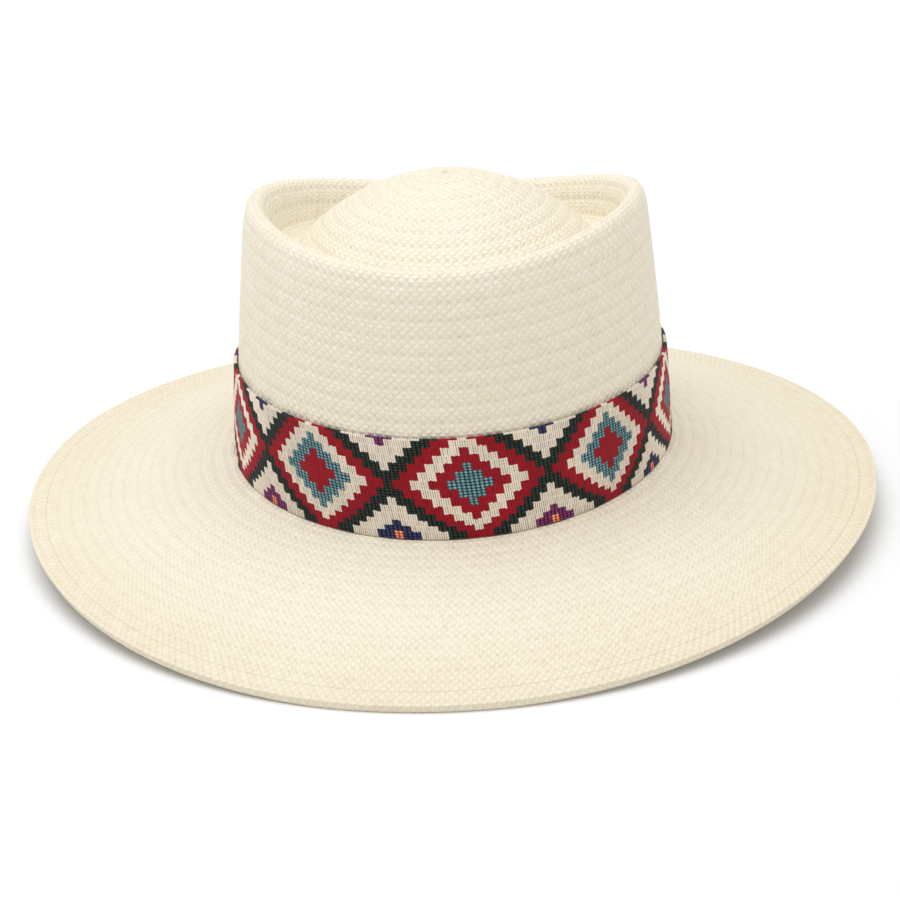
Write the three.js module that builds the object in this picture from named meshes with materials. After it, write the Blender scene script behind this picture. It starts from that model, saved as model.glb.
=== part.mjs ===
import * as THREE from 'three';

// Gambler hat of woven straw with a patterned textile band, standing on its brim.
// Lengths are millimetres, +Z is up, the front of the hat faces -Y and the sides are +X and -X.

// Head opening, measured inside, and the straw
const HEAD_WIDTH = 165;
const HEAD_LENGTH = 201;
const STRAW_WALL = 1.6;

// Width of the brim from the foot of the crown to the edge
const BRIM_SIDE = 79.6;
const BRIM_FRONT = 93.2;
const BRIM_BACK = 81.6;

// Folded hem around the brim
const HEM_WIDTH = 11;
const HEM_THICKNESS = 3.0;
const HEM_ROUND = 1.0;
const HEM_LAND = 4.0;
const HEM_PRESS = 0.3;

// Height above the table of the hem at the sides, where the brim sweeps up, and of the crown's foot
const EDGE_LIFT = 9.3;
const FOOT_SIDE = 23.5;
const FOOT_FRONT = 20.1;
const FOOT_BACK = 21.9;

// Crown: the round ridge stands in from the foot, and holds a sunk ring around a dome
const RIDGE_INSET_SIDE = 11.4;
const RIDGE_INSET_END = 15.7;
const RIDGE_RISE_SIDE = 97.4;
const RIDGE_RISE_FRONT = 93.6;
const RIDGE_RISE_BACK = 80.2;
const RING_DEPTH_SIDE = 21;
const RING_DEPTH_FRONT = 18;
const RING_DEPTH_BACK = 16;
const DOME_RISE = 104.9;

// Textile band around the foot of the crown
const BAND_GAP = 0.3;
const BAND_THICKNESS = 1.2;
const BAND_FLARE = 0.3;
const BAND_SIDE = 35.6;
const BAND_FRONT = 36.5;
const BAND_BACK = 32.4;

// Columns of the faceted solids around the hat: 4n + 2 of them centre a facet on the front and back
const COLUMNS = 58;
const BAND_ROWS = 5;

// Sections of the crown's outside, from the top of the dome down to the foot. out is the share of the
// ridge's half size, and inset the share of the ridge's inset given back. dome, ring and ridge say how
// much of a section's height is theirs, and the rest is the foot's.
const CROWN_ROWS = [
  { out: 0.000, inset: 0, dome: 1.000, ring: 0.000, ridge: 0.000 },
  { out: 0.130, inset: 0, dome: 0.977, ring: 0.023, ridge: 0.000 },
  { out: 0.280, inset: 0, dome: 0.895, ring: 0.105, ridge: 0.000 },
  { out: 0.430, inset: 0, dome: 0.750, ring: 0.250, ridge: 0.000 },
  { out: 0.580, inset: 0, dome: 0.530, ring: 0.470, ridge: 0.000 },
  { out: 0.700, inset: 0, dome: 0.290, ring: 0.710, ridge: 0.000 },
  { out: 0.780, inset: 0, dome: 0.090, ring: 0.910, ridge: 0.000 },
  { out: 0.835, inset: 0, dome: 0.000, ring: 1.000, ridge: 0.000 },
  { out: 0.875, inset: 0, dome: 0.000, ring: 0.880, ridge: 0.120 },
  { out: 0.905, inset: 0, dome: 0.000, ring: 0.560, ridge: 0.440 },
  { out: 0.930, inset: 0, dome: 0.000, ring: 0.230, ridge: 0.770 },
  { out: 0.960, inset: 0, dome: 0.000, ring: 0.055, ridge: 0.945 },
  { out: 1.000, inset: 0.000, dome: 0, ring: 0, ridge: 1.000 },
  { out: 1.000, inset: 0.130, dome: 0, ring: 0, ridge: 0.990 },
  { out: 1.000, inset: 0.235, dome: 0, ring: 0, ridge: 0.965 },
  { out: 1.000, inset: 0.315, dome: 0, ring: 0, ridge: 0.925 },
  { out: 1.000, inset: 0.375, dome: 0, ring: 0, ridge: 0.875 },
  { out: 1.000, inset: 0.435, dome: 0, ring: 0, ridge: 0.810 },
  { out: 1.000, inset: 0.580, dome: 0, ring: 0, ridge: 0.650 },
  { out: 1.000, inset: 0.740, dome: 0, ring: 0, ridge: 0.450 },
  { out: 1.000, inset: 0.890, dome: 0, ring: 0, ridge: 0.220 },
  { out: 1.000, inset: 1.000, dome: 0, ring: 0, ridge: 0.000 },
];

// Sections of the brim's top from the foot to the hem. run is the share of the way to the hem, fall the
// share of the drop from the foot to the edge's mean height, and curl the share of the sweep of the edge.
const BRIM_ROWS = [
  { run: 0.16, fall: 0.17, curl: 0.01 },
  { run: 0.33, fall: 0.34, curl: 0.04 },
  { run: 0.49, fall: 0.48, curl: 0.12 },
  { run: 0.65, fall: 0.62, curl: 0.24 },
  { run: 0.81, fall: 0.75, curl: 0.41 },
  { run: 1.00, fall: 0.89, curl: 0.69 },
];

const FOOT_HALF_WIDTH = HEAD_WIDTH / 2 + STRAW_WALL;
const FOOT_HALF_LENGTH = HEAD_LENGTH / 2 + STRAW_WALL;
const FOOT_ROW = CROWN_ROWS[CROWN_ROWS.length - 1];
const DOME_HEIGHT = (FOOT_SIDE + (FOOT_FRONT + FOOT_BACK) / 2) / 2 + DOME_RISE;
const EDGE_TOP = EDGE_LIFT - HEM_PRESS + HEM_THICKNESS;
const END_EDGE_TOP = HEM_THICKNESS - HEM_PRESS;

// A size that changes smoothly around the hat. turn is the angle from the front.
function around(turn, side, front, back) {
  const ends = (front + back) / 2;
  const middle = (side + ends) / 2;
  const sweep = (side - ends) / 2;
  return middle - sweep * Math.cos(2 * turn) + ((front - back) / 2) * Math.cos(turn);
}

// A point on the oval with these half sizes, with its centre moved forward
function ovalPoint(turn, halfWidth, halfLength, forward, height) {
  const x = halfWidth * Math.sin(turn);
  const y = -halfLength * Math.cos(turn) - forward;
  return new THREE.Vector3(x, y, height);
}

const footHeight = (turn) => around(turn, FOOT_SIDE, FOOT_FRONT, FOOT_BACK);
const ridgeRise = (turn) => around(turn, RIDGE_RISE_SIDE, RIDGE_RISE_FRONT, RIDGE_RISE_BACK);
const brimWidth = (turn) => around(turn, BRIM_SIDE, BRIM_FRONT, BRIM_BACK);

function crownPoint(row, turn) {
  const halfWidth = row.out * (FOOT_HALF_WIDTH - RIDGE_INSET_SIDE) + row.inset * RIDGE_INSET_SIDE;
  const halfLength = row.out * (FOOT_HALF_LENGTH - RIDGE_INSET_END) + row.inset * RIDGE_INSET_END;
  const ridge = footHeight(turn) + ridgeRise(turn);
  const ring = ridge - around(turn, RING_DEPTH_SIDE, RING_DEPTH_FRONT, RING_DEPTH_BACK);
  const foot = (1 - row.dome - row.ring - row.ridge) * footHeight(turn);
  const height = row.dome * DOME_HEIGHT + row.ring * ring + row.ridge * ridge + foot;
  return ovalPoint(turn, halfWidth, halfLength, 0, height);
}

const edgeTop = (turn) => around(turn, EDGE_TOP, END_EDGE_TOP, END_EDGE_TOP);

// A point of the brim at this share of its whole width
function brimPlace(turn, run, height) {
  const halfWidth = FOOT_HALF_WIDTH + run * BRIM_SIDE;
  const halfLength = FOOT_HALF_LENGTH + run * (BRIM_FRONT + BRIM_BACK) / 2;
  const forward = run * (BRIM_FRONT - BRIM_BACK) / 2;
  return ovalPoint(turn, halfWidth, halfLength, forward, height);
}

// A point of the brim this far in from the edge
function hemPoint(turn, inward, height) {
  return brimPlace(turn, 1 - inward / brimWidth(turn), height);
}

function brimPoint(row, turn) {
  const middle = (EDGE_TOP + END_EDGE_TOP) / 2;
  const sweep = edgeTop(turn) - middle;
  const height = footHeight(turn) * (1 - row.fall) + middle * row.fall + sweep * row.curl;
  return brimPlace(turn, row.run * (1 - HEM_WIDTH / brimWidth(turn)), height);
}

// The points moved square to the section, into the wall, with the full distance kept at each corner
function offsetSection(points, turn, distance) {
  const along = new THREE.Vector3(FOOT_HALF_WIDTH * Math.cos(turn), FOOT_HALF_LENGTH * Math.sin(turn), 0);
  along.normalize();
  const square = (from, to) => along.clone().cross(to.clone().sub(from)).normalize();
  return points.map((point, i) => {
    const before = i > 0 ? square(points[i - 1], point) : null;
    const after = i < points.length - 1 ? square(point, points[i + 1]) : null;
    const normal = (before ?? after).clone().add(after ?? before).normalize();
    const stretch = distance / normal.dot(before ?? after);
    return point.clone().addScaledVector(normal, stretch);
  });
}

// The whole section at one turn: the inside from the axis out, the hem, and the outside back to the axis
function strawSection(turn) {
  const crown = CROWN_ROWS.map((row) => crownPoint(row, turn));
  const brim = BRIM_ROWS.map((row) => brimPoint(row, turn));
  const outside = [...crown, ...brim];
  const inside = offsetSection(outside, turn, STRAW_WALL);
  inside[0].set(0, 0, crown[0].z - STRAW_WALL);

  const top = edgeTop(turn);
  const under = Math.max(0, top - HEM_THICKNESS);
  const fold = inside[inside.length - 1].clone();
  fold.z -= HEM_THICKNESS - STRAW_WALL;
  const hem = [
    fold,
    hemPoint(turn, HEM_LAND, under),
    hemPoint(turn, HEM_ROUND, under),
    hemPoint(turn, 0, (top + under) / 2),
    hemPoint(turn, HEM_ROUND, top),
  ];
  return [...inside, ...hem, ...outside.reverse()];
}

// The share of the ridge's inset that the crown's wall has given back at this height above the foot
function wallInset(turn, height) {
  const share = height / ridgeRise(turn);
  const upper = CROWN_ROWS.findLastIndex((row) => row.out === FOOT_ROW.out && row.ridge >= share);
  const above = CROWN_ROWS[upper];
  const below = CROWN_ROWS[Math.min(upper + 1, CROWN_ROWS.length - 1)];
  const part = above === below ? 0 : (above.ridge - share) / (above.ridge - below.ridge);
  return THREE.MathUtils.lerp(above.inset, below.inset, part);
}

// A point of the band: share runs up its height, and away is its distance from the crown's wall
function bandPoint(turn, share, away) {
  const height = BAND_GAP + share * around(turn, BAND_SIDE, BAND_FRONT, BAND_BACK);
  const inset = wallInset(turn, height) - 1;
  const halfWidth = FOOT_HALF_WIDTH + inset * RIDGE_INSET_SIDE + away;
  const halfLength = FOOT_HALF_LENGTH + inset * RIDGE_INSET_END + away;
  return ovalPoint(turn, halfWidth, halfLength, 0, footHeight(turn) + height);
}

function bandSection(turn) {
  const shares = Array.from({ length: BAND_ROWS }, (_, i) => i / (BAND_ROWS - 1));
  const flare = (share) => BAND_GAP + BAND_FLARE * share ** 3;
  const inside = shares.map((share) => bandPoint(turn, share, flare(share)));
  const outside = shares.map((share) => bandPoint(turn, share, flare(share) + BAND_THICKNESS));
  return [inside[0], ...outside, ...inside.reverse()];
}

// A closed skin around the hat: a lathe gives the faces, and each column takes its own section
function turnSection(section) {
  const profile = section(Math.PI / 2).map((point) => new THREE.Vector2(Math.max(point.x, 0), point.z));
  const geometry = new THREE.LatheGeometry(profile, COLUMNS);
  const places = geometry.attributes.position;
  for (let column = 0; column <= COLUMNS; column += 1) {
    const turn = ((column % COLUMNS) + 0.5) * (2 * Math.PI / COLUMNS);
    section(turn).forEach((point, i) => {
      places.setXYZ(column * profile.length + i, point.x, point.y, point.z);
    });
  }
  geometry.computeVertexNormals();
  return geometry;
}

function piece(name, section, finish) {
  const mesh = new THREE.Mesh(turnSection(section), new THREE.MeshStandardMaterial(finish));
  mesh.name = name;
  return mesh;
}

// The origin is under the middle of the brim, which reaches further to the front than to the back
const hat = new THREE.Group();
hat.position.y = (BRIM_FRONT - BRIM_BACK) / 2;
hat.add(piece('straw_body', strawSection, { color: 0xf3ecd8, roughness: 0.8, metalness: 0 }));
hat.add(piece('hat_band', bandSection, { color: 0x8f2233, roughness: 0.95, metalness: 0 }));

export default hat;
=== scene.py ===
import math

import bmesh
import bpy
from mathutils import Matrix, Vector, noise


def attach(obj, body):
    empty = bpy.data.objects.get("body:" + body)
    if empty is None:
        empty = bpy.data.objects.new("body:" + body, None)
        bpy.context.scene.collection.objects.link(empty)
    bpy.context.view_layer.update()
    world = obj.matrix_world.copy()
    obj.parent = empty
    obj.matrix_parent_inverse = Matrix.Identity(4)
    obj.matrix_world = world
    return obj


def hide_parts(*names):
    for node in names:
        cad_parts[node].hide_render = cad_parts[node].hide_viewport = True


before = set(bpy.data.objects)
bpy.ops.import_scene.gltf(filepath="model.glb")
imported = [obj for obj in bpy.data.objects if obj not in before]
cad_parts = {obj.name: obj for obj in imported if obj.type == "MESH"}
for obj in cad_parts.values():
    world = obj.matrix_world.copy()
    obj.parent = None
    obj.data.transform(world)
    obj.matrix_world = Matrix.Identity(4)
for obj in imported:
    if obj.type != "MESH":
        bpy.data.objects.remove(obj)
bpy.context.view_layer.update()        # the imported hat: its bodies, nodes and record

# A straw gambler hat with a patterned woven band. Lengths are metres, and the front faces -Y.
MM = 0.001

# Head opening and straw
HEAD_WIDTH = 165 * MM
HEAD_LENGTH = 201 * MM
STRAW_WALL = 1.6 * MM

# Brim, its folded hem, and how far its sides sweep up
BRIM_SIDE = 79.6 * MM
BRIM_FRONT = 93.2 * MM
BRIM_BACK = 81.6 * MM
HEM_WIDTH = 11 * MM
HEM_THICKNESS = 3.0 * MM
HEM_PRESS = 0.3 * MM
HEM_LAND = 4.0 * MM
HEM_CORNER = 0.6 * MM
HEM_UNDER_CORNER = 1.1 * MM
HEM_TILT = 1.2 * MM
EDGE_LIFT = 9.3 * MM
FOOT_SIDE = 23.5 * MM
FOOT_FRONT = 20.1 * MM
FOOT_BACK = 21.9 * MM

# Crown: a round ridge, a sunk ring inside it, and a dome
RIDGE_INSET_SIDE = 11.4 * MM
RIDGE_INSET_END = 15.7 * MM
RIDGE_RISE_SIDE = 97.4 * MM
RIDGE_RISE_FRONT = 93.6 * MM
RIDGE_RISE_BACK = 80.2 * MM
RING_DEPTH_SIDE = 21 * MM
RING_DEPTH_FRONT = 18 * MM
RING_DEPTH_BACK = 16 * MM
DOME_RISE = 104.9 * MM

# Textile band
BAND_GAP = 0.3 * MM
BAND_THICKNESS = 1.2 * MM
BAND_FLARE = 0.3 * MM
BAND_SIDE = 35.6 * MM
BAND_FRONT = 36.5 * MM
BAND_BACK = 32.4 * MM

# Columns: out, inset, dome, ring, ridge. The sections of the crown from the top of the dome to the foot.
CROWN_ROWS = (
    (0.000, 0, 1.000, 0.000, 0.000),
    (0.130, 0, 0.977, 0.023, 0.000),
    (0.280, 0, 0.895, 0.105, 0.000),
    (0.430, 0, 0.750, 0.250, 0.000),
    (0.580, 0, 0.530, 0.470, 0.000),
    (0.700, 0, 0.290, 0.710, 0.000),
    (0.780, 0, 0.090, 0.910, 0.000),
    (0.835, 0, 0.000, 1.000, 0.000),
    (0.875, 0, 0.000, 0.880, 0.120),
    (0.905, 0, 0.000, 0.560, 0.440),
    (0.930, 0, 0.000, 0.230, 0.770),
    (0.960, 0, 0.000, 0.055, 0.945),
    (1.000, 0.000, 0, 0, 1.000),
    (1.000, 0.130, 0, 0, 0.990),
    (1.000, 0.235, 0, 0, 0.965),
    (1.000, 0.315, 0, 0, 0.925),
    (1.000, 0.375, 0, 0, 0.875),
    (1.000, 0.435, 0, 0, 0.810),
    (1.000, 0.580, 0, 0, 0.650),
    (1.000, 0.740, 0, 0, 0.450),
    (1.000, 0.890, 0, 0, 0.220),
    (1.000, 1.000, 0, 0, 0.000),
)
# Columns: run, fall, curl. The sections of the brim's top from the foot to the hem.
BRIM_ROWS = (
    (0.00, 0.00, 0.00),
    (0.16, 0.17, 0.01),
    (0.33, 0.34, 0.04),
    (0.49, 0.48, 0.12),
    (0.65, 0.62, 0.24),
    (0.81, 0.75, 0.41),
    (1.00, 0.89, 0.69),
)

# Plaited rows of the straw: their width, the groove between two, and the cells of the weave in them
CROWN_ROW = 6.2 * MM
BRIM_ROW = 5.4 * MM
HEM_ROW = 4.6 * MM
GROOVE = 0.22 * MM
CROWN_CELL = 3.6 * MM
BRIM_CELL = 3.1 * MM
CROWN_CELLS_DEEP = 2.0
BRIM_CELLS_DEEP = 1.5
LEAST_CELLS = 8
STRAW_COLUMNS = 240
CORNER_STEPS = 3
MEAN_TURN = math.pi / 4
# Columns: place across a row, relief as a share of the groove. First the outside, then the inside.
ROW_RELIEF = ((0.00, -1.0), (0.12, -0.1), (0.32, 0.3), (0.60, 0.35), (0.86, 0.0))
INNER_RELIEF = ((0.00, -0.6), (0.50, 0.3))
# Columns: share of the hem's top from its inner edge to the rim, relief as a share of the groove
HEM_RELIEF = (
    (0.94, 0.0), (0.88, -0.1), (0.84, -0.3), (0.78, 0.0), (0.62, 0.3),
    (0.48, 0.0), (0.42, -0.4), (0.37, 0.0), (0.20, 0.3), (0.07, 0.0),
)

# Band weave: motifs around, cells in a motif, threads in a cell, and where the first motif has its middle
MOTIFS = 10
MOTIF_CELLS = 18
CELL_THREADS = 4
MOTIF_START = 14.5 * MM
# Relative heights of the rows of cells, from the top of the face down, and how many lie above the middle
ROW_HEIGHTS = (2.6, 2.95, 2.8, 3.05, 3.05, 3.4, 3.2, 2.9, 2.8, 2.55, 1.95, 1.95, 3.0)
ROWS_ABOVE_MIDDLE = 5
# Columns: the ring's last step from the middle of a diamond, then its yarn in an even and in an odd motif
DIAMOND_RINGS = (
    (2, "teal", "red"),
    (4, "red", "teal"),
    (6, "cream", "cream"),
    (8, "red", "red"),
    (10, "green", "green"),
)
ACCENT_ROWS = 3
# Steps in a cell, and the places of the stations over the rolled top edge and down the back
CELL_STEPS = 3
TOP_ROLL = 0.014
ROLL_ANGLES = (30, 60, 90, 120, 150, 180)
BACK_SHARES = (0.75, 0.5, 0.25, 0.0)
# Relief of the threads and floats, and how much the ends of the threads differ, as a share of a row
THREAD_RELIEF = 0.13 * MM
FLOAT_RELIEF = 0.08 * MM
END_JITTER = 0.28
JITTER_PER_COLUMN = 0.79
JITTER_PER_STATION = 1.37
JITTER_START = 4.1
# How the threads lean, how the lean changes around the hat, and the height at which they stay in place
BAND_LEAN = math.radians(10.1)
BAND_LEAN_SWEEP = math.radians(7.5)
BAND_MIDDLE = 0.554
LENGTH_STEPS = 3600
WELD = 0.001 * MM

FOOT_HALF_WIDTH = HEAD_WIDTH / 2 + STRAW_WALL
FOOT_HALF_LENGTH = HEAD_LENGTH / 2 + STRAW_WALL
DOME_HEIGHT = (FOOT_SIDE + (FOOT_FRONT + FOOT_BACK) / 2) / 2 + DOME_RISE
EDGE_TOP = EDGE_LIFT - HEM_PRESS + HEM_THICKNESS
END_EDGE_TOP = HEM_THICKNESS - HEM_PRESS
CENTRE_BACK = (BRIM_FRONT - BRIM_BACK) / 2

# Colours of the straw and the yarns
STRAW_PALE = (0.945, 0.892, 0.765, 1)
STRAW_WARM = (0.860, 0.770, 0.575, 1)
# Painted shade: the colour put into the gaps between strands, the grooves between rows and the weave's holes
STRAW_SHADE_COLOUR = (0.560, 0.470, 0.330, 1)
YARNS = {
    "cream": (0.93, 0.83, 0.70),
    "red": (0.385, 0.009, 0.021),
    "green": (0.009, 0.020, 0.016),
    "teal": (0.032, 0.165, 0.215),
    "navy": (0.012, 0.018, 0.090),
    "purple": (0.170, 0.016, 0.120),
    "orange": (0.860, 0.180, 0.060),
}
# Colour of the painted highlight on the raised stitches of the plain weave
STITCH_HIGHLIGHT = (0.70, 0.70, 0.66, 1)
# How much of the painted highlight shows on the stitches of a plain-woven yarn
PLAIN_WOVEN = {"green": 0.03, "teal": 0.30, "navy": 0.06, "purple": 0.05, "orange": 0.25}

# Surface of the straw. Patches, flecks and fibres are counts to a metre. Each edge is where a smooth step
# begins and ends, each warmth is how much of that colour it adds, each shade how much of the painted shade
# colour it adds, and each bump how much height.
STRAND_ROUNDNESS = 0.9
STRAND_END_FALL = 0.35
WEFT_NUMBERS_FROM = 1000
BROAD_SHARE = 0.6
STRAW_PATCHES = 9.0
STRAW_FLECKS = 160.0
STRAW_FIBRES = 1400.0
SEAM_EDGE = (0.01, 0.075)
HOLE_EDGE = (0.05, 0.40)
HOLE_LEAST = 0.55
BETWEEN_EDGE = (0.05, 0.45)
CORNER_EDGE = (0.0, 0.22)
WHOLE_CROSSINGS = 0.965
TONE_MIDDLE = 0.40
TONE_WARMTH = 0.9
STRAND_WARMTH = 0.22
CROSSING_WARMTH = 0.22
RIM_EDGE = (0.45, 1.0)
RIM_WARMTH = 0.42
# How much painted shade goes into the gaps between strands, the grooves between rows and the missing
# crossings
BETWEEN_SHADE = 0.10
SEAM_SHADE = 0.22
MISSING_SHADE = 0.7
CROSSING_BUMP = 0.7
LINE_BUMP = 0.22
STRAW_FIBRE_BUMP = 0.4
SEAM_BUMP = 0.35
STRAW_BUMP_HEIGHT = 0.38 * MM

# Surface of the band. Each spread, shade and tone is a least value and how much is added to it.
BAND_PATCHES = 60.0
BAND_FLECKS = 1100.0
BAND_FIBRES = 2600.0
STITCH_THREADS = 2
CELL_PICKS = 3.0
STITCH_EDGE = (0.35, 1.05)
STITCH_SPREAD = (0.7, 0.5)
CHECKED_SHADE = (0.25, 1.7)
SLIT_EDGE = (0.06, 0.26)
SLIT_BREAK_EDGE = (0.02, 0.16)
SLIT_BREAK = 0.45
SLIT_SPREAD = (0.35, 0.6)
# How much painted shade darkens the slits between floated threads
SLIT_SHADE_AMOUNT = 0.85
FLOAT_SHADE = (0.93, 0.1)
BAND_TONE = (0.72, 0.56)
BAND_FIBRE_BUMP = 0.3
BAND_BUMP_HEIGHT = 0.2 * MM

# Studio: the floor and its glow, the point that the lights face, and the camera
FLOOR_RADIUS = 4.0
GLOW_REACH = (0.26, 1.3)
GLOW_STRENGTH = (0.03, 0.55)
LIT_POINT = Vector((0, 0, 0.05))
CAMERA_DISTANCE = 878.46 * MM
CAMERA_ELEVATION = math.radians(20.86)
CAMERA_YAW = math.radians(5.21)
CAMERA_ROLL = math.radians(-2.11)
CAMERA_AIM = Vector((-1.81 * MM, CENTRE_BACK, 14.57 * MM))


def around(turn, side, front, back):
    """A size that changes smoothly around the hat. turn is the angle from the front."""
    ends = (front + back) / 2
    middle = (side + ends) / 2
    return middle - (side - ends) / 2 * math.cos(2 * turn) + (front - back) / 2 * math.cos(turn)


def oval_point(turn, half_width, half_length, forward, height):
    """A point on an oval around the hat's axis, which is moved forward."""
    return Vector((
        half_width * math.sin(turn),
        CENTRE_BACK - half_length * math.cos(turn) - forward,
        height,
    ))


def foot_height(turn):
    return around(turn, FOOT_SIDE, FOOT_FRONT, FOOT_BACK)


def ridge_rise(turn):
    return around(turn, RIDGE_RISE_SIDE, RIDGE_RISE_FRONT, RIDGE_RISE_BACK)


def brim_width(turn):
    return around(turn, BRIM_SIDE, BRIM_FRONT, BRIM_BACK)


def edge_top(turn):
    return around(turn, EDGE_TOP, END_EDGE_TOP, END_EDGE_TOP)


def crown_point(row, turn):
    out, inset, dome, ring, ridge = row
    half_width = out * (FOOT_HALF_WIDTH - RIDGE_INSET_SIDE) + inset * RIDGE_INSET_SIDE
    half_length = out * (FOOT_HALF_LENGTH - RIDGE_INSET_END) + inset * RIDGE_INSET_END
    ridge_height = foot_height(turn) + ridge_rise(turn)
    ring_height = ridge_height - around(turn, RING_DEPTH_SIDE, RING_DEPTH_FRONT, RING_DEPTH_BACK)
    foot = (1 - dome - ring - ridge) * foot_height(turn)
    height = dome * DOME_HEIGHT + ring * ring_height + ridge * ridge_height + foot
    return oval_point(turn, half_width, half_length, 0, height)


def brim_place(turn, run, height):
    half_width = FOOT_HALF_WIDTH + run * BRIM_SIDE
    half_length = FOOT_HALF_LENGTH + run * (BRIM_FRONT + BRIM_BACK) / 2
    return oval_point(turn, half_width, half_length, run * CENTRE_BACK, height)


def brim_point(row, turn):
    run, fall, curl = row
    middle = (EDGE_TOP + END_EDGE_TOP) / 2
    height = foot_height(turn) * (1 - fall) + middle * fall + (edge_top(turn) - middle) * curl
    return brim_place(turn, run * (1 - HEM_WIDTH / brim_width(turn)), height)


def hem_point(turn, inward, height):
    return brim_place(turn, 1 - inward / brim_width(turn), height)


def smooth_row(rows, marks, place):
    """The row at this place along the section, on a smooth curve through the table's rows."""
    k = max(i for i in range(len(marks) - 1) if marks[i] <= place or i == 0)
    step = marks[k + 1] - marks[k]
    t = (place - marks[k]) / step

    def rise(i, column):
        return (rows[i + 1][column] - rows[i][column]) / (marks[i + 1] - marks[i])

    def slope(i, column):
        """At the start only the first column, the distance out, goes on at its rise."""
        if i == 0:
            return rise(0, column) if column == 0 else 0.0
        before = rise(i - 1, column)
        if i == len(rows) - 1:
            return before
        after = rise(i, column)
        left = marks[i] - marks[i - 1]
        right = marks[i + 1] - marks[i]
        return (before * right + after * left) / (left + right)

    def blend(column):
        a, b = rows[k][column], rows[k + 1][column]
        m, n = slope(k, column) * step, slope(k + 1, column) * step
        return (
            (2 * t**3 - 3 * t**2 + 1) * a + (t**3 - 2 * t**2 + t) * m
            + (3 * t**2 - 2 * t**3) * b + (t**3 - t**2) * n
        )

    return tuple(blend(column) for column in range(len(rows[0])))


def lengths_to(places):
    """The length of the line through these places, up to each of them."""
    marks = [0.0]
    for before, after in zip(places, places[1:]):
        marks.append(marks[-1] + (after - before).length)
    return marks


def stations(rows, point, row_width, relief_steps):
    """The places at which the straw's section is cut: table row, relief, plaited row, share across it."""
    marks = lengths_to([point(row, MEAN_TURN) for row in rows])
    count = round(marks[-1] / row_width)
    cut = []
    for i in range(count):
        for share, relief in relief_steps:
            place = (i + share) / count * marks[-1]
            cut.append((smooth_row(rows, marks, place), relief * GROOVE, i, share))
    cut.append((rows[-1], 0.0, count - 1, 1.0))
    return cut


def offset_points(points, turn, distances):
    """The points moved square to the section, inwards, each by its own distance."""
    along = Vector((FOOT_HALF_WIDTH * math.cos(turn), FOOT_HALF_LENGTH * math.sin(turn), 0))
    along.normalize()
    moved = []
    for i, point in enumerate(points):
        before = points[max(i - 1, 0)]
        after = points[min(i + 1, len(points) - 1)]
        inwards = along.cross(after - before).normalized()
        moved.append(point + inwards * distances[i])
    return moved


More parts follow.
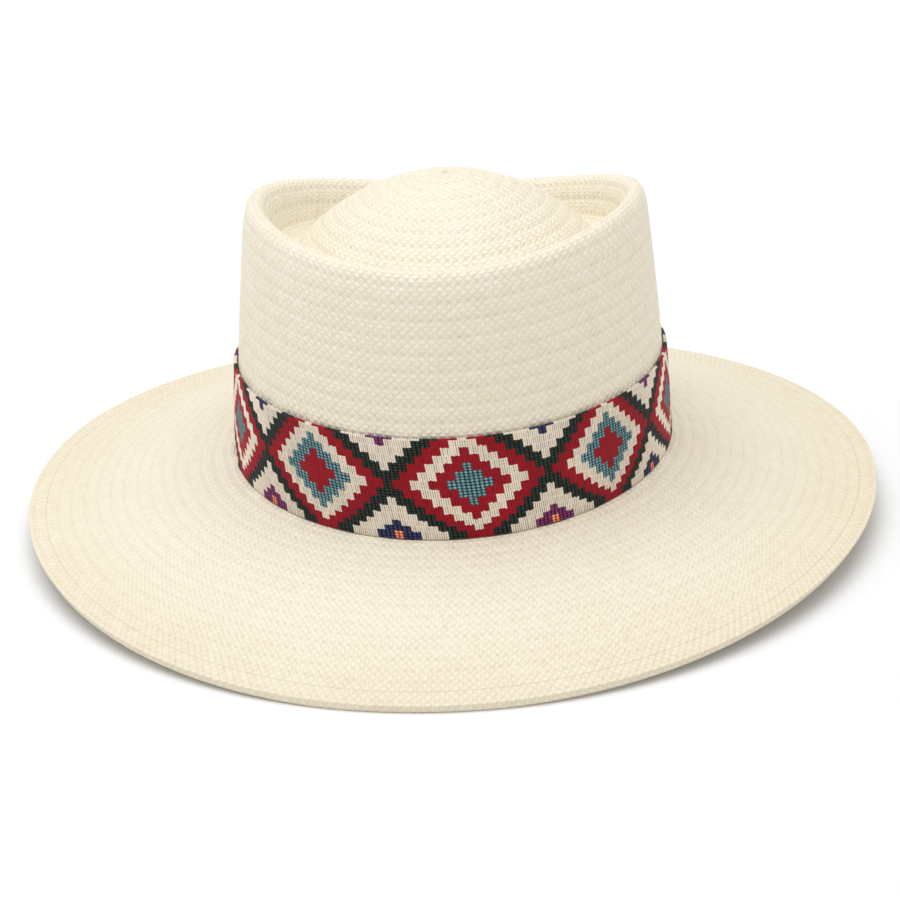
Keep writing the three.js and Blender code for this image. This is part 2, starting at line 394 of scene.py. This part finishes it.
class StrawSection:
    """The hat's section at any turn: the inside from the axis out, the hem, the outside back to the axis."""

    def __init__(self):
        self.crown = stations(CROWN_ROWS, crown_point, CROWN_ROW, ROW_RELIEF)
        self.brim = stations(BRIM_ROWS, brim_point, BRIM_ROW, ROW_RELIEF)
        self.inner_crown = stations(CROWN_ROWS, crown_point, CROWN_ROW, INNER_RELIEF)
        self.inner_brim = stations(BRIM_ROWS, brim_point, BRIM_ROW, INNER_RELIEF)
        self.weave = self._weave()

    def points(self, turn):
        outside = self._side(self.crown, self.brim, turn, 0.0)
        inside = self._side(self.inner_crown, self.inner_brim, turn, STRAW_WALL)
        top = edge_top(turn)
        under = max(0.0, top - HEM_THICKNESS)
        tilt = HEM_TILT * math.sin(turn)**2
        fold = inside[-1].copy()
        fold.z -= HEM_THICKNESS - STRAW_WALL
        hem = [fold, hem_point(turn, HEM_LAND, under)]
        quarter = [math.pi / 2 * step / CORNER_STEPS for step in range(CORNER_STEPS + 1)]
        for angle in quarter:
            inward = tilt + HEM_UNDER_CORNER * (1 - math.sin(angle))
            hem.append(hem_point(turn, inward, under + HEM_UNDER_CORNER * (1 - math.cos(angle))))
        for angle in quarter:
            inward = HEM_CORNER * (1 - math.cos(angle))
            hem.append(hem_point(turn, inward, top - HEM_CORNER * (1 - math.sin(angle))))
        rim = hem[-1]
        for share, relief in HEM_RELIEF:
            point = rim.lerp(outside[-1], 1 - share)
            point.z += relief * GROOVE
            hem.append(point)
        return [*inside, *hem, *outside[::-1]]

    def _side(self, crown, brim, turn, wall):
        points = [crown_point(cut[0], turn) for cut in crown]
        points += [brim_point(cut[0], turn) for cut in brim[1:]]
        reliefs = [cut[1] for cut in crown] + [cut[1] for cut in brim[1:]]
        sign = -1 if wall == 0.0 else 1
        moved = offset_points(points, turn, [wall + sign * relief for relief in reliefs])
        moved[0] = Vector((0, CENTRE_BACK, points[0].z - wall))
        return moved

    def _weave(self):
        """For each stretch between two stations: the weave's cells around the hat, then at each of its ends
        the cells along the section, the plaited row, and how far out on the brim it lies."""
        def cells(cuts, deep, width, point, brim):
            made = []
            for before, after in zip(cuts, cuts[1:]):
                front, side = point(before[0], 0), point(before[0], math.pi / 2)
                half_length = abs(front.y - CENTRE_BACK)
                around_hat = math.tau * math.sqrt((half_length**2 + side.x**2) / 2)
                ends = []
                for cut in (before, after):
                    row = cut[2] + cut[3]
                    out = row / (cuts[-1][2] + 1) * (1 - HEM_WIDTH / BRIM_SIDE) if brim else 0.0
                    ends.append((deep * row, row, out))
                made.append((max(LEAST_CELLS, round(around_hat / width)), *ends))
            return made

        def side(crown, brim):
            top = cells(crown, CROWN_CELLS_DEEP, CROWN_CELL, crown_point, False)
            foot = [(brim[0][0], 0.0, 0, 0.0)]
            return top + cells(foot + brim[1:], BRIM_CELLS_DEEP, BRIM_CELL, brim_point, True)

        inside = side(self.inner_crown, self.inner_brim)
        outside = side(self.crown, self.brim)
        count, _, (cell, row, out) = outside[-1]
        section = self.points(MEAN_TURN)
        around_hem = section[len(inside):len(section) - len(outside)][::-1]
        ends = [(cell, row, out)]
        for before, after in zip(around_hem, around_hem[1:]):
            far = (after - before).length
            ends.append((
                ends[-1][0] + far / BRIM_ROW * BRIM_CELLS_DEEP,
                ends[-1][1] + far / HEM_ROW,
                min(1.0, ends[-1][2] + far / BRIM_SIDE),
            ))
        hem = [(count, after, before) for before, after in zip(ends, ends[1:])]
        return inside + hem[::-1] + [(cells_around, b, a) for cells_around, a, b in outside[::-1]]


def spin_section(points_at, columns):
    """A skin around the hat: a chain of points is spun, and each column takes the section at its turn."""
    mesh = bmesh.new()
    station = mesh.verts.layers.int.new("station")
    column = mesh.verts.layers.int.new("column")
    count = len(points_at(0.0))
    chain = []
    for i in range(count):
        point = mesh.verts.new((1 + i / count, 0, 0))
        point[station] = i
        chain.append(point)
    links = [mesh.edges.new(pair) for pair in zip(chain, chain[1:])]
    bmesh.ops.spin(mesh, geom=chain + links, cent=(0, 0, 0), axis=(0, 0, 1), angle=math.tau,
                   steps=columns, use_merge=True, use_duplicate=False)
    sections = [points_at(math.tau * c / columns) for c in range(columns)]
    for point in mesh.verts:
        c = round(math.atan2(point.co.y, point.co.x) / math.tau * columns) % columns
        point[column] = c
        point.co = sections[c][point[station]]
    return mesh, station, column


def face_columns(face, column, columns):
    """The columns of a face's corners, with the last face around the hat kept in step."""
    numbers = [loop.vert[column] for loop in face.loops]
    if max(numbers) - min(numbers) > columns / 2:
        numbers = [n + columns if n < columns / 2 else n for n in numbers]
    return numbers


def new_object(name, mesh, material):
    data = bpy.data.meshes.new(name)
    mesh.to_mesh(data)
    mesh.free()
    data.materials.append(material)
    made = bpy.data.objects.new(name, data)
    bpy.context.scene.collection.objects.link(made)
    return made


def new_piece(name, mesh, node, material):
    bmesh.ops.remove_doubles(mesh, verts=mesh.verts, dist=WELD)
    bmesh.ops.recalc_face_normals(mesh, faces=mesh.faces)
    piece = new_object(name, mesh, material)
    piece.data.polygons.foreach_set("use_smooth", [True] * len(piece.data.polygons))
    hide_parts(node)
    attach(piece, "root")
    return piece


def straw_body(material):
    section = StrawSection()
    mesh, station, column = spin_section(section.points, STRAW_COLUMNS)
    weave = mesh.loops.layers.uv.new("weave")
    rows = mesh.loops.layers.uv.new("rows")
    for face in mesh.faces:
        numbers = face_columns(face, column, STRAW_COLUMNS)
        stretch = min(loop.vert[station] for loop in face.loops)
        count, first, last = section.weave[stretch]
        for loop, number in zip(face.loops, numbers):
            across, row, out = first if loop.vert[station] == stretch else last
            loop[weave].uv = (count * number / STRAW_COLUMNS, across)
            loop[rows].uv = (out, row)
    new_piece("straw_shell", mesh, "straw_body", material)


def wall_inset(turn, height):
    """The share of the ridge's inset that the crown's wall has given back at this height above the foot."""
    share = height / ridge_rise(turn)
    wall = [row for row in CROWN_ROWS if row[0] == 1.0]
    for upper, lower in zip(wall, wall[1:]):
        if upper[4] >= share >= lower[4]:
            part = (upper[4] - share) / (upper[4] - lower[4])
            return upper[1] + part * (lower[1] - upper[1])
    return 1.0


def band_height(turn):
    return around(turn, BAND_SIDE, BAND_FRONT, BAND_BACK)


def band_point(turn, height, away):
    inset = wall_inset(turn, height) - 1
    half_width = FOOT_HALF_WIDTH + inset * RIDGE_INSET_SIDE + away
    half_length = FOOT_HALF_LENGTH + inset * RIDGE_INSET_END + away
    return oval_point(turn, half_width, half_length, 0, foot_height(turn) + height)


def yarn_at(cell, row):
    """The yarn of a cell. The cells count around the band from the middle of a motif, and the rows down
    from the middle row. Between the diamonds lie a small accent at the top and a stepped one at the foot."""
    motif = round(cell / MOTIF_CELLS)
    steps = abs(cell - motif * MOTIF_CELLS) + abs(row)
    for last_step, even_yarn, odd_yarn in DIAMOND_RINGS:
        if steps <= last_step:
            return odd_yarn if motif % 2 else even_yarn
    gap = math.floor(cell / MOTIF_CELLS)
    beside = abs(cell - (gap + 0.5) * MOTIF_CELLS)
    upper, lower = ("purple", "navy") if gap % 2 else ("navy", "purple")
    upper_reach = 0.5 if row == -ROWS_ABOVE_MIDDLE else 1.5
    if row <= -ROWS_ABOVE_MIDDLE and beside < upper_reach:
        return upper
    from_foot = len(ROW_HEIGHTS) - 1 - ROWS_ABOVE_MIDDLE - row
    if 0 <= from_foot < ACCENT_ROWS and beside < ACCENT_ROWS - from_foot - 0.5:
        return "orange" if from_foot == 0 and beside < 0.5 else lower
    return "cream"


class BandSection:
    """The band's section at any turn, from the bottom of its face up, over the roll and down the back.
    Each of its rows is a share of the height, how far out it lies from back to face, and a place in cells."""

    def __init__(self):
        self.rows = []
        bottom = len(ROW_HEIGHTS) - ROWS_ABOVE_MIDDLE - 0.5
        top = -ROWS_ABOVE_MIDDLE - 0.5
        tall = sum(ROW_HEIGHTS)
        high = 0.0
        for i, height in enumerate(reversed(ROW_HEIGHTS)):
            for step in range(CELL_STEPS):
                share = (high + height * step / CELL_STEPS) / tall
                self.rows.append((share * (1 - TOP_ROLL), 1.0, bottom - i - step / CELL_STEPS))
            high += height
        self.face_rows = len(self.rows)
        self.rows.append((1 - TOP_ROLL, 1.0, top))
        for angle in ROLL_ANGLES:
            turn = math.radians(angle)
            share = 1 - TOP_ROLL * (1 - math.sin(turn))
            self.rows.append((share, (1 + math.cos(turn)) / 2, top - angle / ROLL_ANGLES[-1]))
        for share in BACK_SHARES:
            self.rows.append((share, 0.0, top - 1))

    def points(self, turn, relief, ends):
        """ends moves each station up its thread, by a share of a row, where one yarn meets the next."""
        lean = BAND_LEAN - BAND_LEAN_SWEEP * math.sin(turn)
        tall = band_height(turn)
        radius = math.hypot(FOOT_HALF_WIDTH * math.cos(turn), FOOT_HALF_LENGTH * math.sin(turn))
        made = []
        for i, (share, out, cell) in enumerate(self.rows):
            share = share + ends[i] / len(ROW_HEIGHTS)
            leaned = turn - math.tan(lean) * (share - BAND_MIDDLE) * tall / radius
            away = BAND_GAP + BAND_FLARE * share**3 + out * BAND_THICKNESS + relief[i]
            made.append(band_point(leaned, BAND_GAP + share * band_height(leaned), away))
        made.append(made[0].copy())
        return made


def turns_by_length(columns):
    """Turns that share the band's length evenly, from the start of a motif near the front."""
    height = band_height(0) * BAND_MIDDLE
    fine_turns = [math.tau * i / LENGTH_STEPS for i in range(LENGTH_STEPS + 1)]
    marks = lengths_to([band_point(turn, height, BAND_THICKNESS) for turn in fine_turns])
    total = marks[-1]
    turns = []
    at = 0
    for c in range(columns):
        wanted = (MOTIF_START + total * c / columns) % total
        if wanted < marks[at]:
            at = 0
        while marks[at + 1] < wanted:
            at += 1
        part = (wanted - marks[at]) / (marks[at + 1] - marks[at])
        turns.append(math.tau * (at + part) / LENGTH_STEPS)
    return turns, total


def textile_band(material):
    threads = MOTIFS * MOTIF_CELLS * CELL_THREADS
    columns = 2 * threads
    turns, length = turns_by_length(columns)
    section = BandSection()

    def cell_of(thread):
        return math.floor((thread + CELL_THREADS / 2) / CELL_THREADS)

    def relief_of(c):
        ridge = 1 if c % 2 == 0 else -1
        out = []
        for share, face, cell in section.rows:
            row = math.floor(cell + 0.5)
            yarn = yarn_at(cell_of(c // 2), row)
            floats = 0.0 if yarn in PLAIN_WOVEN else FLOAT_RELIEF
            out.append(face * (ridge * THREAD_RELIEF + floats))
        return out

    def ends_of(c):
        """Thread ends don't line up: a thread's ends lie a little higher or lower than its neighbours'."""
        out = [0.0] * len(section.rows)
        if c % 2 == 0:
            for i in range(CELL_STEPS, section.face_rows, CELL_STEPS):
                place = Vector((c * JITTER_PER_COLUMN, i * JITTER_PER_STATION, JITTER_START))
                out[i] = END_JITTER * noise.noise(place)
        return out

    def points_at(turn):
        c = round(turn / math.tau * columns) % columns
        return section.points(turns[c], relief_of(c), ends_of(c))

    mesh, station, column = spin_section(points_at, columns)
    weave = mesh.loops.layers.uv.new("weave")
    yarn_layer = mesh.loops.layers.float_color.new("yarn")
    plain_layer = mesh.loops.layers.float_color.new("plain")
    rows = section.rows
    for face in mesh.faces:
        numbers = face_columns(face, column, columns)
        low = min(loop.vert[station] for loop in face.loops)
        if max(loop.vert[station] for loop in face.loops) - low > 1:
            low = len(rows) - 1
        here = rows[low][2]
        there = rows[min(low + 1, len(rows) - 1)][2]
        row = math.floor((here + there) / 2 + 0.5)
        thread = math.floor((sum(numbers) / len(numbers) + 1) / 2)
        yarn = yarn_at(cell_of(thread % threads), row)
        colour = (*YARNS[yarn], 1.0)
        # Red is 1 for plain weave, green is how much painted highlight its stitches get
        plain = (1.0 if yarn in PLAIN_WOVEN else 0.0, PLAIN_WOVEN.get(yarn, 0.0), 0.0, 1.0)
        for loop, number in zip(face.loops, numbers):
            place = here if loop.vert[station] == low else there
            loop[weave].uv = (number / 2 + 0.5, place + 0.5)
            loop[yarn_layer] = colour
            loop[plain_layer] = plain
    return new_piece("textile_band", mesh, "hat_band", material), length


def feed(tree, socket, value):
    """Give an input a plain value, or the output of another node."""
    if isinstance(value, (int, float, tuple)):
        socket.default_value = value
    else:
        tree.links.new(value, socket)


def maths(tree, operation, *values):
    """A Math node with these inputs, which are numbers or outputs. Returns its output."""
    node = tree.nodes.new("ShaderNodeMath")
    node.operation = operation
    for socket, value in zip(node.inputs, values):
        feed(tree, socket, value)
    return node.outputs[0]


def plus(tree, first, second):
    return maths(tree, "ADD", first, second)


def minus(tree, first, second):
    return maths(tree, "SUBTRACT", first, second)


def times(tree, first, second):
    return maths(tree, "MULTIPLY", first, second)


def ramp(tree, value, start, rise):
    """A straight line: start where the value is 0, and rise more where it is 1."""
    return plus(tree, start, times(tree, value, rise))


def weighted(tree, *parts):
    """The sum of the parts, each of them a value and its weight."""
    total = times(tree, *parts[0])
    for value, weight in parts[1:]:
        total = plus(tree, total, times(tree, value, weight))
    return total


def stepped(tree, value, low, high, start=0.0, end=1.0):
    """A smooth step: start below low, end above high."""
    node = tree.nodes.new("ShaderNodeMapRange")
    node.interpolation_type = "SMOOTHSTEP"
    for name, number in (("From Min", low), ("From Max", high), ("To Min", start), ("To Max", end)):
        node.inputs[name].default_value = number
    tree.links.new(value, node.inputs["Value"])
    return node.outputs["Result"]


def from_whole(tree, value):
    """How far the value is from the nearest whole number, 0 to 0.5."""
    return maths(tree, "PINGPONG", value, 0.5)


def from_half(tree, value):
    """How near the value is to a whole number: 1 at a whole number, 0 halfway between two."""
    return minus(tree, 1.0, times(tree, from_whole(tree, value), 2.0))


def cell_random(tree, first, second):
    """A random number, 0 to 1, for each pair of whole numbers."""
    pair = tree.nodes.new("ShaderNodeCombineXYZ")
    tree.links.new(maths(tree, "FLOOR", first), pair.inputs["X"])
    tree.links.new(maths(tree, "FLOOR", second), pair.inputs["Y"])
    random = tree.nodes.new("ShaderNodeTexWhiteNoise")
    random.noise_dimensions = "2D"
    tree.links.new(pair.outputs["Vector"], random.inputs["Vector"])
    return random.outputs["Value"]


def noise_value(tree, place, scale, detail):
    """Soft noise, 0 to 1, with about this many changes to a metre."""
    node = tree.nodes.new("ShaderNodeTexNoise")
    node.inputs["Detail"].default_value = detail
    feed(tree, node.inputs["Scale"], scale)
    tree.links.new(place, node.inputs["Vector"])
    return node.outputs["Fac"]


def mixed(tree, factor, first, second, blend="MIX"):
    """A colour Mix node. Returns its output."""
    node = tree.nodes.new("ShaderNodeMix")
    node.data_type = "RGBA"
    node.blend_type = blend
    for name, value in (("Factor", factor), ("A", first), ("B", second)):
        feed(tree, next(s for s in node.inputs if s.name == name and s.enabled), value)
    return next(s for s in node.outputs if s.enabled)


def bumped(tree, height, strength, distance):
    node = tree.nodes.new("ShaderNodeBump")
    node.inputs["Strength"].default_value = strength
    node.inputs["Distance"].default_value = distance
    tree.links.new(height, node.inputs["Height"])
    return node.outputs["Normal"]


def map_values(tree, name):
    """The two values of a UV map."""
    place = tree.nodes.new("ShaderNodeUVMap")
    place.uv_map = name
    split = tree.nodes.new("ShaderNodeSeparateXYZ")
    tree.links.new(place.outputs["UV"], split.inputs["Vector"])
    return split.outputs["X"], split.outputs["Y"]


def layer_colour(tree, name):
    """The colour that a face's corners keep under this name."""
    layer = tree.nodes.new("ShaderNodeVertexColor")
    layer.layer_name = name
    return layer.outputs["Color"]


def object_place(tree):
    return tree.nodes.new("ShaderNodeTexCoord").outputs["Object"]


def group_tree(name, inputs, outputs):
    tree = bpy.data.node_groups.new(name, "ShaderNodeTree")
    for socket, kind in inputs:
        tree.interface.new_socket(socket, in_out="INPUT", socket_type=kind)
    for socket in outputs:
        tree.interface.new_socket(socket, in_out="OUTPUT", socket_type="NodeSocketFloat")
    return tree, tree.nodes.new("NodeGroupInput"), tree.nodes.new("NodeGroupOutput")


def use_group(tree, group, **values):
    node = tree.nodes.new("ShaderNodeGroup")
    node.node_tree = group
    for name, value in values.items():
        feed(tree, node.inputs[name], value)
    return node


def over_and_under_group():
    """Strands over and under each other: the surface's height, and a random number for each strand
    and for each crossing."""
    tree, given, result = group_tree(
        "over_and_under",
        (("Warp", "NodeSocketFloat"), ("Weft", "NodeSocketFloat")),
        ("Height", "Strand", "Crossing"),
    )

    def strand_height(own_side, other_side):
        rounded = maths(tree, "POWER", own_side, STRAND_ROUNDNESS)
        return times(tree, rounded, maths(tree, "POWER", other_side, STRAND_END_FALL))

    warp, weft = given.outputs["Warp"], given.outputs["Weft"]
    warp_wave = maths(tree, "COSINE", times(tree, warp, math.pi))
    weft_wave = maths(tree, "COSINE", times(tree, weft, math.pi))
    warp_on_top = maths(tree, "GREATER_THAN", times(tree, warp_wave, weft_wave), 0.0)
    warp_side = maths(tree, "ABSOLUTE", warp_wave)
    weft_side = maths(tree, "ABSOLUTE", weft_wave)
    height = weighted(
        tree,
        (strand_height(warp_side, weft_side), warp_on_top),
        (strand_height(weft_side, warp_side), minus(tree, 1.0, warp_on_top)),
    )
    warp_number = plus(tree, warp, 0.5)
    weft_number = plus(tree, weft, WEFT_NUMBERS_FROM + 0.5)
    top_number = tree.nodes.new("ShaderNodeMix")
    tree.links.new(warp_on_top, top_number.inputs["Factor"])
    tree.links.new(weft_number, top_number.inputs["A"])
    tree.links.new(warp_number, top_number.inputs["B"])
    strand = top_number.outputs[0]
    tree.links.new(height, result.inputs["Height"])
    tree.links.new(cell_random(tree, strand, strand), result.inputs["Strand"])
    tree.links.new(cell_random(tree, warp_number, weft_number), result.inputs["Crossing"])
    return tree


def uneven_group():
    """Soft changes of tone by hand work and handling, from two sizes of noise."""
    tree, given, result = group_tree(
        "uneven_tone",
        (("Place", "NodeSocketVector"), ("Broad", "NodeSocketFloat"), ("Fine", "NodeSocketFloat")),
        ("Tone",),
    )
    place = given.outputs["Place"]
    broad = noise_value(tree, place, given.outputs["Broad"], 2.0)
    fine = noise_value(tree, place, given.outputs["Fine"], 2.0)
    tone = weighted(tree, (broad, BROAD_SHARE), (fine, 1 - BROAD_SHARE))
    tree.links.new(tone, result.inputs["Tone"])
    return tree


def new_material(name, settings):
    material = bpy.data.materials.new(name)
    material.use_nodes = True
    tree = material.node_tree
    tree.nodes.clear()
    surface = tree.nodes.new("ShaderNodeBsdfPrincipled")
    for setting, value in settings.items():
        surface.inputs[setting].default_value = value
    output = tree.nodes.new("ShaderNodeOutputMaterial")
    tree.links.new(surface.outputs["BSDF"], output.inputs["Surface"])
    return material, tree, surface


def straw_material(over_and_under, uneven):
    material, tree, surface = new_material("ivory_straw", {"Roughness": 0.55, "Specular IOR Level": 0.4})
    across, deep = map_values(tree, "weave")
    out, row = map_values(tree, "rows")
    where = object_place(tree)
    strands = use_group(tree, over_and_under, Warp=plus(tree, across, deep), Weft=minus(tree, across, deep))
    strand_height = strands.outputs["Height"]
    crossing = strands.outputs["Crossing"]
    tone = use_group(tree, uneven, Place=where, Broad=STRAW_PATCHES, Fine=STRAW_FLECKS).outputs["Tone"]

    near_seam = stepped(tree, from_whole(tree, row), *SEAM_EDGE, 1.0, 0.0)
    hole = stepped(tree, from_whole(tree, times(tree, across, 2.0)), *HOLE_EDGE, 1.0, HOLE_LEAST)
    seam = times(tree, near_seam, hole)
    between = stepped(tree, strand_height, *BETWEEN_EDGE, 1.0, 0.0)
    corner = stepped(tree, strand_height, *CORNER_EDGE, 1.0, 0.0)
    missing = times(tree, corner, maths(tree, "GREATER_THAN", crossing, WHOLE_CROSSINGS))

    warm = weighted(
        tree,
        (strands.outputs["Strand"], STRAND_WARMTH),
        (minus(tree, tone, TONE_MIDDLE), TONE_WARMTH),
        (crossing, CROSSING_WARMTH),
        (stepped(tree, out, *RIM_EDGE), RIM_WARMTH),
    )
    colour = mixed(tree, maths(tree, "MAXIMUM", warm, 0.0), STRAW_PALE, STRAW_WARM)
    # Painted shade: darker in the gaps between strands, in the grooves between plaited rows and in the holes
    painted_shade = weighted(tree, (between, BETWEEN_SHADE), (seam, SEAM_SHADE), (missing, MISSING_SHADE))
    colour = mixed(tree, maths(tree, "MINIMUM", painted_shade, 1.0), colour, STRAW_SHADE_COLOUR)
    tree.links.new(colour, surface.inputs["Base Color"])

    line = maths(tree, "ABSOLUTE", maths(tree, "COSINE", times(tree, deep, math.tau)))
    height = weighted(
        tree,
        (strand_height, 1.0),
        (crossing, CROSSING_BUMP),
        (line, LINE_BUMP),
        (noise_value(tree, where, STRAW_FIBRES, 1.0), STRAW_FIBRE_BUMP),
        (seam, -SEAM_BUMP),
    )
    tree.links.new(bumped(tree, height, 0.9, STRAW_BUMP_HEIGHT), surface.inputs["Normal"])
    return material


def textile_material(uneven):
    material, tree, surface = new_material("band_yarns", {
        "Roughness": 0.85,
        "Specular IOR Level": 0.2,
        "Sheen Weight": 0.1,
        "Sheen Roughness": 0.5,
    })
    thread, row = map_values(tree, "weave")
    where = object_place(tree)
    plain_parts = tree.nodes.new("ShaderNodeSeparateColor")
    tree.links.new(layer_colour(tree, "plain"), plain_parts.inputs["Color"])
    plain, highlight_share = plain_parts.outputs["Red"], plain_parts.outputs["Green"]
    floats = minus(tree, 1.0, plain)
    tone = use_group(tree, uneven, Place=where, Broad=BAND_PATCHES, Fine=BAND_FLECKS).outputs["Tone"]

    # Plain weave: a lattice of short bright stitches on a dark ground, partly the yarns' own colours, partly
    # painted highlight on the raised stitches and painted shade in the sunk ground
    pair = times(tree, thread, 1 / STITCH_THREADS)
    pick = times(tree, row, CELL_PICKS)
    wide = from_half(tree, pair)
    tall = from_half(tree, pick)
    far = maths(tree, "SQRT", weighted(tree, (wide, wide), (tall, tall)))
    stitch = stepped(tree, far, *STITCH_EDGE, 1.0, 0.0)
    stitch = times(tree, stitch, ramp(tree, cell_random(tree, pair, pick), *STITCH_SPREAD))
    checked = ramp(tree, stitch, *CHECKED_SHADE)

    # Floats: upright threads with painted shade in the slits between them, broken where one row of floats
    # meets the next
    slit = stepped(tree, from_whole(tree, thread), *SLIT_EDGE, 1.0, 0.0)
    slit = times(tree, slit, stepped(tree, from_whole(tree, row), *SLIT_BREAK_EDGE, SLIT_BREAK, 1.0))
    own_thread = cell_random(tree, plus(tree, thread, 0.5), row)
    slit = times(tree, slit, ramp(tree, own_thread, *SLIT_SPREAD))
    # Painted shade in the slits between the floated threads
    floated = times(tree, ramp(tree, slit, 1.0, -SLIT_SHADE_AMOUNT), ramp(tree, stitch, *FLOAT_SHADE))

    shade = weighted(tree, (plain, checked), (floats, floated))
    shade = times(tree, shade, ramp(tree, tone, *BAND_TONE))
    colour = mixed(tree, 1.0, layer_colour(tree, "yarn"), shade, "MULTIPLY")
    # Painted highlight: the pale highlight colour mixed onto the raised stitches
    colour = mixed(tree, times(tree, stitch, highlight_share), colour, STITCH_HIGHLIGHT)
    tree.links.new(colour, surface.inputs["Base Color"])

    height = weighted(
        tree,
        (plain, stitch),
        (floats, minus(tree, 1.0, slit)),
        (noise_value(tree, where, BAND_FIBRES, 1.0), BAND_FIBRE_BUMP),
    )
    tree.links.new(bumped(tree, height, 0.7, BAND_BUMP_HEIGHT), surface.inputs["Normal"])
    return material


def studio_floor():
    """A round white floor that glows more with distance, so that it ends without an edge."""
    material, tree, surface = new_material("pale_floor", {
        "Base Color": (0.87, 0.88, 0.90, 1),
        "Roughness": 0.9,
        "Specular IOR Level": 0.0,
        "Emission Color": (1.0, 1.0, 1.0, 1),
    })
    away = tree.nodes.new("ShaderNodeVectorMath")
    away.operation = "LENGTH"
    tree.links.new(object_place(tree), away.inputs[0])
    glow = stepped(tree, away.outputs["Value"], *GLOW_REACH, *GLOW_STRENGTH)
    tree.links.new(glow, surface.inputs["Emission Strength"])
    mesh = bmesh.new()
    bmesh.ops.create_circle(mesh, cap_ends=True, radius=FLOOR_RADIUS, segments=64)
    new_object("studio_floor", mesh, material)


def soft_light(name, place, size, power, colour):
    light = bpy.data.lights.new(name, "AREA")
    light.shape = "DISK"
    light.size = size
    light.energy = power
    light.color = colour
    lamp = bpy.data.objects.new(name, light)
    lamp.location = place
    lamp.rotation_euler = (LIT_POINT - Vector(place)).to_track_quat("-Z", "Y").to_euler()
    bpy.context.scene.collection.objects.link(lamp)


def studio_light():
    world = bpy.data.worlds.new("studio")
    world.use_nodes = True
    sky = world.node_tree.nodes["Background"]
    sky.inputs["Color"].default_value = (1.0, 0.970, 0.925, 1)
    sky.inputs["Strength"].default_value = 0.67
    bpy.context.scene.world = world
    soft_light("overhead", (-0.12, 0.0, 1.5), size=1.6, power=13.7, colour=(0.985, 1.0, 1.02))
    soft_light("upper_left", (-1.2, -0.3, 1.1), size=1.0, power=1.2, colour=(0.97, 0.99, 1.0))
    bpy.context.scene.view_settings.view_transform = "Standard"


def photo_camera():
    """The camera at the photograph's angle, turned by its yaw and tilted by its roll."""
    back = Vector((
        math.sin(CAMERA_YAW) * math.cos(CAMERA_ELEVATION),
        -math.cos(CAMERA_YAW) * math.cos(CAMERA_ELEVATION),
        math.sin(CAMERA_ELEVATION),
    ))
    right = (-back).cross(Vector((0, 0, 1))).normalized()
    up = right.cross(-back)
    tilted_right = right * math.cos(CAMERA_ROLL) + up * math.sin(CAMERA_ROLL)
    tilted_up = up * math.cos(CAMERA_ROLL) - right * math.sin(CAMERA_ROLL)
    lens = bpy.data.cameras.new("photo_camera")
    lens.sensor_width = 36.0
    lens.lens = 88.7
    lens.clip_start = 0.05
    camera = bpy.data.objects.new("photo_camera", lens)
    turned = Matrix((tilted_right, tilted_up, back)).transposed().to_4x4()
    camera.matrix_world = Matrix.Translation(CAMERA_AIM + back * CAMERA_DISTANCE) @ turned
    bpy.context.scene.collection.objects.link(camera)
    bpy.context.scene.camera = camera


photo_camera()
studio_floor()
studio_light()
uneven = uneven_group()
straw_body(straw_material(over_and_under_group(), uneven))
band, band_length = textile_band(textile_material(uneven))
